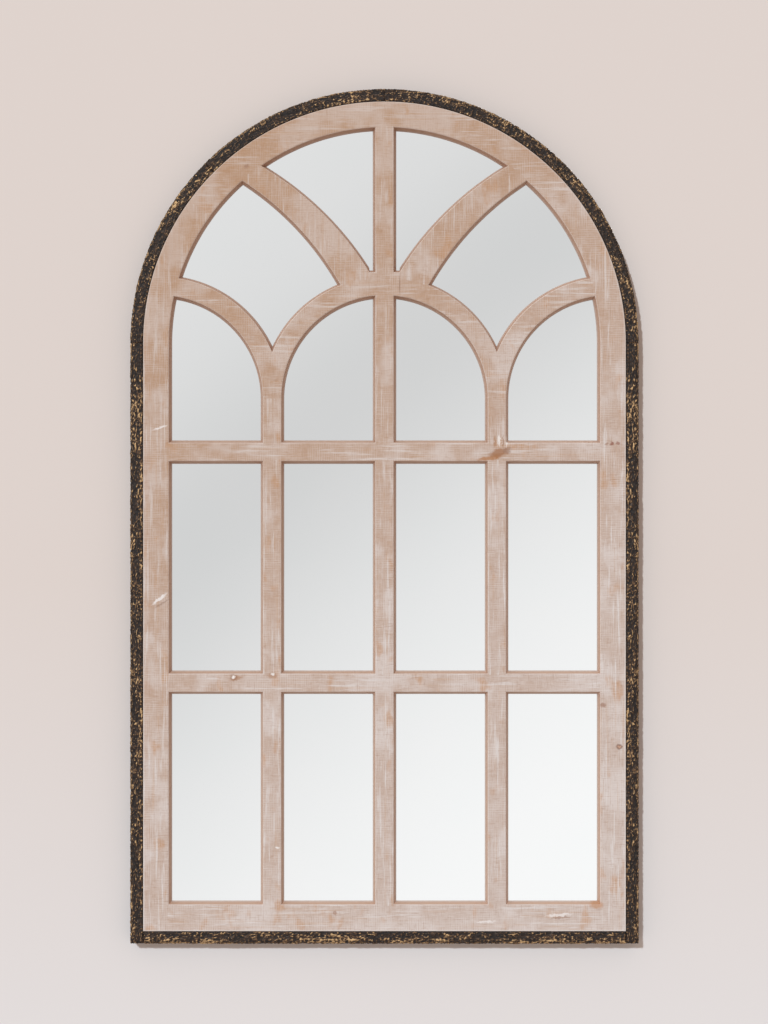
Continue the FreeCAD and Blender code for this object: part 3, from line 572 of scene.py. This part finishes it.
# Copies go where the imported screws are, which the box round each packed shank's tip gives. In
# metres, a tip's points are this close to its end, and this close to each other.
tip_end = 0.0001
same_screw = 4 * shank_radius * to_metres
spread = np.random.default_rng(4)
for node in ("backing_screws", "hanger_screws"):
    tips = []
    low_corner, high_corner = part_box(node)
    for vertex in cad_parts[node].data.vertices:
        x, y, z = vertex.co
        if y > low_corner.y + tip_end:
            continue
        tip = next((t for t in tips if math.hypot(x - t[0], z - t[2]) < same_screw), None)
        if tip is None:
            tips.append([x, x, z, z])
        else:
            tip[:] = min(tip[0], x), max(tip[1], x), min(tip[2], z), max(tip[3], z)
    seat = high_corner.y - head_height * to_metres
    bpy.ops.object.select_all(action="DESELECT")
    for left, right, low, high in tips:
        driven = bpy.data.objects.new(node + "_driven", screw.data.copy())
        driven.data.transform(
            Matrix.Translation(((left + right) / 2, seat, (low + high) / 2))
            @ Matrix.Rotation(-math.pi / 2, 4, "X")
            @ Matrix.Rotation(spread.uniform(0, math.pi / 2), 4, "Z")
            @ Matrix.Scale(to_metres, 4))
        bpy.context.scene.collection.objects.link(driven)
        driven.select_set(True)
    bpy.context.view_layer.objects.active = driven
    bpy.ops.object.join()
    driven.name = node + "_driven"
    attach(driven, "mirror")
    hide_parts(node)
bpy.data.objects.remove(screw)


# Hangers: straps pressed from zinc-plated steel strip and screwed to the back, each with its end
# rolled round a D bent from nickel-plated wire.

# Blue-grey metal, streaked along the strip, with a few dull patches.
strap, tree, shader = finish("Pressed zinc-plated strap")
place = add(tree, "ShaderNodeTexCoord").outputs["Object"]
tint = wear(tree, place, (
    ((0.6, 0.6, 9), 0.45, 0.65, 0.5, "#a7a9aa"),      # drawing lines along the strip
    ((5, 5, 5), 0.5, 0.7, 0.4, "#b3ad98"),
), linear("#c6c8ca"))
tree.links.new(tint, shader.inputs["Base Color"])
shader.inputs["Metallic"].default_value = 1.0
shader.inputs["Roughness"].default_value = 0.36

# Brighter and warmer than the strap, and smoother.
nickel, tree, shader = finish("Nickel-plated wire")
place = add(tree, "ShaderNodeTexCoord").outputs["Object"]
tint = wear(tree, place, (((2.5, 2.5, 2.5), 0.5, 0.7, 0.5, "#a8a294"),), linear("#cfccc4"))
tree.links.new(tint, shader.inputs["Base Color"])
shader.inputs["Metallic"].default_value = 1.0
shader.inputs["Roughness"].default_value = 0.22
for side in ("left_", "right_"):
    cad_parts[side + "hanger_strap"].data.materials[0] = strap
    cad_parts[side + "d_ring"].data.materials[0] = nickel


# Wall bumpers: round self-adhesive rubber feet, stuck to the back, that keep the band off the
# wall.

# Dark grey and dull, scuffed lighter in places.
rubber, tree, shader = finish("Grey rubber foot")
place = add(tree, "ShaderNodeTexCoord").outputs["Object"]
tint = wear(tree, place, (((1.4, 1.4, 1.4), 0.5, 0.7, 0.5, "#55524e"),), linear("#3f3d3b"))
tree.links.new(tint, shader.inputs["Base Color"])
shader.inputs["Roughness"].default_value = 0.75
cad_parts["wall_bumpers"].data.materials[0] = rubber


# Stage: a pale painted wall just behind the bumpers, and a pale floor well below the mirror. The
# wall shows only to a camera in front of it, so that the back can be seen and lit.

wall_gap = 0.0004
bpy.ops.object.select_all(action="DESELECT")
bpy.ops.mesh.primitive_plane_add(size=9, location=(0, wall_gap, 0),
                                 rotation=(math.pi / 2, 0, 0))
wall = bpy.context.object
wall.name = "wall"
paint, tree, shader = finish("Pale wall paint")
place = add(tree, "ShaderNodeTexCoord").outputs["Object"]
axes = add(tree, "ShaderNodeSeparateXYZ", {0: place})
# The wall is darker and warmer towards the top: painted shade.
rise = add(tree, "ShaderNodeMapRange", {
    "Value": axes.outputs["Y"], "From Min": -0.95, "From Max": -0.30})
wall_colour_with_painted_shade = add(tree, "ShaderNodeMix", {
    0: rise.outputs["Result"], 6: linear("#e4dfdf"), 7: linear("#e0d5d0")}, data_type="RGBA")
tree.links.new(wall_colour_with_painted_shade.outputs[2], shader.inputs["Base Color"])
shader.inputs["Roughness"].default_value = 1.0
shader.inputs["Specular IOR Level"].default_value = 0.0
behind = add(tree, "ShaderNodeNewGeometry").outputs["Backfacing"]
seen = add(tree, "ShaderNodeLightPath").outputs["Is Camera Ray"]
front = add(tree, "ShaderNodeMath", {0: 1.0, 1: behind}, operation="SUBTRACT")
shown = add(tree, "ShaderNodeMath", {0: seen, 1: front.outputs[0]}, operation="MULTIPLY")
clear = add(tree, "ShaderNodeBsdfTransparent")
choice = add(tree, "ShaderNodeMixShader", {
    0: shown.outputs[0], 1: clear.outputs[0], 2: shader.outputs[0]})
tree.links.new(choice.outputs[0], tree.nodes["Material Output"].inputs["Surface"])
wall.data.materials.append(paint)
bpy.ops.mesh.primitive_plane_add(size=9, location=(0, -4.4, -1.75))
floor = bpy.context.object
floor.name = "floor"
floor.visible_glossy = False
floor.visible_diffuse = False
boards, tree, shader = finish("Pale floor")
shader.inputs["Base Color"].default_value = linear("#e4e0dc")
shader.inputs["Roughness"].default_value = 0.9
floor.data.materials.append(boards)


# Light: a broad even room, with one soft lamp up to the left of the camera and one for the back,
# which the wall lets through. The mirror sees the room's far side, white at the bottom right,
# greyer upwards, and a little lighter again at the top left.

scene = bpy.context.scene
scene.world = bpy.data.worlds.new("Room")
scene.world.use_nodes = True
tree = scene.world.node_tree
tree.nodes.clear()
toward = add(tree, "ShaderNodeTexCoord").outputs["Generated"]
slant = add(tree, "ShaderNodeVectorMath", {0: toward, 1: (-0.643, 0.0, 0.766)},
            operation="DOT_PRODUCT")
ahead = add(tree, "ShaderNodeSeparateXYZ", {0: toward})
ahead = add(tree, "ShaderNodeMath", {0: ahead.outputs["Y"], 1: -1.0}, operation="MULTIPLY")
ahead = add(tree, "ShaderNodeMath", {0: ahead.outputs[0], 1: 0.3}, operation="MAXIMUM")
slant = add(tree, "ShaderNodeMath", {0: slant.outputs["Value"], 1: ahead.outputs[0]},
            operation="DIVIDE")
slant = add(tree, "ShaderNodeMapRange", {
    "Value": slant.outputs[0], "From Min": -0.20, "From Max": 0.20})
shade = add(tree, "ShaderNodeValToRGB", {0: slant.outputs["Result"]})
shade.color_ramp.interpolation = "B_SPLINE"
stops = shade.color_ramp.elements

# Grey levels across the room's far side, from its bottom right to its top left.
for position, level in ((0.0, 0.965), (0.13, 0.938), (0.24, 0.894), (0.345, 0.833),
                        (0.45, 0.762), (0.56, 0.660), (0.63, 0.645), (0.69, 0.665),
                        (0.77, 0.726), (0.88, 0.752)):
    stop = stops[0] if position == 0.0 else stops.new(position)
    stop.color = (level, level, level, 1.0)
stops[-1].color = (0.76, 0.76, 0.76, 1.0)
path = add(tree, "ShaderNodeLightPath")
even = add(tree, "ShaderNodeBackground", {"Color": linear("#ffede0"), "Strength": 0.55})
far_side = add(tree, "ShaderNodeBackground", {"Color": shade.outputs[0], "Strength": 1.06})
backdrop = add(tree, "ShaderNodeBackground", {"Color": linear("#e6e0dc"), "Strength": 1.0})
room = add(tree, "ShaderNodeMixShader", {
    0: path.outputs["Is Glossy Ray"], 1: even.outputs[0], 2: far_side.outputs[0]})
room = add(tree, "ShaderNodeMixShader", {
    0: path.outputs["Is Camera Ray"], 1: room.outputs[0], 2: backdrop.outputs[0]})
add(tree, "ShaderNodeOutputWorld", {"Surface": room.outputs[0]})

lamp = bpy.data.objects.new("lamp", bpy.data.lights.new("lamp", "SUN"))
lamp.data.energy = 2.05
lamp.data.color = (0.79, 0.92, 1.0)
lamp.data.angle = math.radians(3)
lamp.rotation_euler = Vector((0.31, 0.87, -0.385)).to_track_quat("-Z", "Y").to_euler()
scene.collection.objects.link(lamp)
back_lamp = bpy.data.objects.new("back_lamp", bpy.data.lights.new("back_lamp", "SUN"))
back_lamp.data.energy = 1.5
back_lamp.data.angle = math.radians(12)
back_lamp.rotation_euler = Vector((-0.3, -0.88, -0.37)).to_track_quat("-Z", "Y").to_euler()
scene.collection.objects.link(back_lamp)


# Camera: straight on, level with the middle of the picture, 3 m in front of the frame. The picture
# is 768 x 1024, so the 36 mm sensor's long side is upright.

camera = bpy.data.objects.new("camera", bpy.data.cameras.new("camera"))
camera.location = (-0.0007, -3.03, -0.202)
camera.rotation_euler = (math.pi / 2, 0.0, 0.0)
camera.data.sensor_width = 36.0
camera.data.lens = 76.6
scene.collection.objects.link(camera)
scene.camera = camera
scene.view_settings.view_transform = "Standard"
